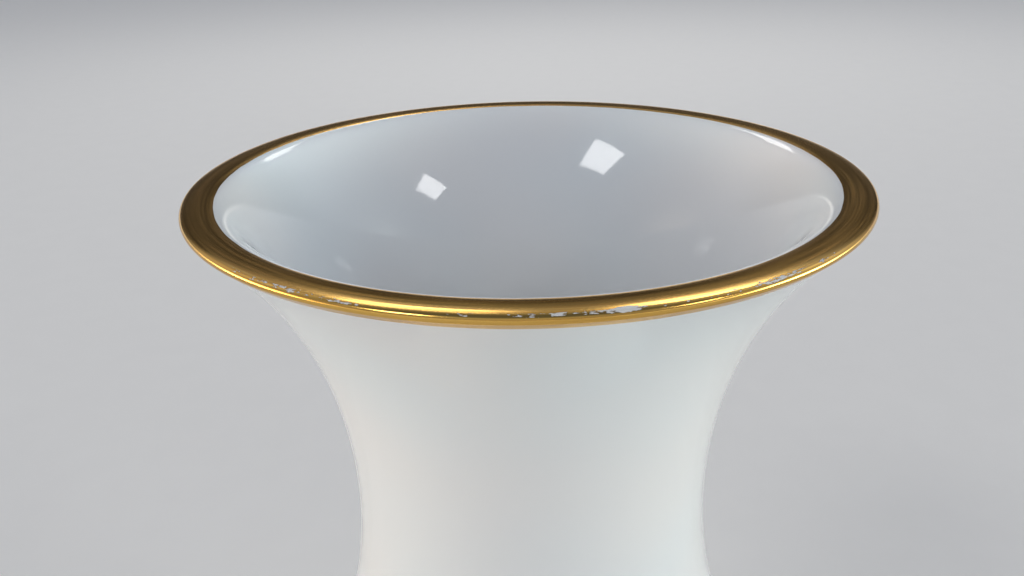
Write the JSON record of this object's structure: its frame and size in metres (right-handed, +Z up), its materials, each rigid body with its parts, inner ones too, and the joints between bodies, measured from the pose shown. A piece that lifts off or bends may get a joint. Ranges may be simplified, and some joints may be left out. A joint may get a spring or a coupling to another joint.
{
  "type": "porcelain vase",
  "caption": "Baluster vase in glazed white porcelain on a foot ring, with a trumpet neck and a worn gilded lip; it stands on a surface and holds cut flowers.",
  "frame": {"origin": "middle of the foot, on the surface that the vase stands on", "axes": "+Z up along the axis that the vase is turned about; X and Y are alike"},
  "size_m": [0.15, 0.15, 0.3],
  "materials": {
    "glazed_porcelain": "gloss",
    "foot_porcelain": "gloss",
    "fired_gold": "gloss"
  },
  "bodies": {
    "root": {"neck": "glazed_porcelain", "belly": "glazed_porcelain", "foot_ring": "foot_porcelain", "rim_gilding": "fired_gold"}
  },
  "joints": []
}
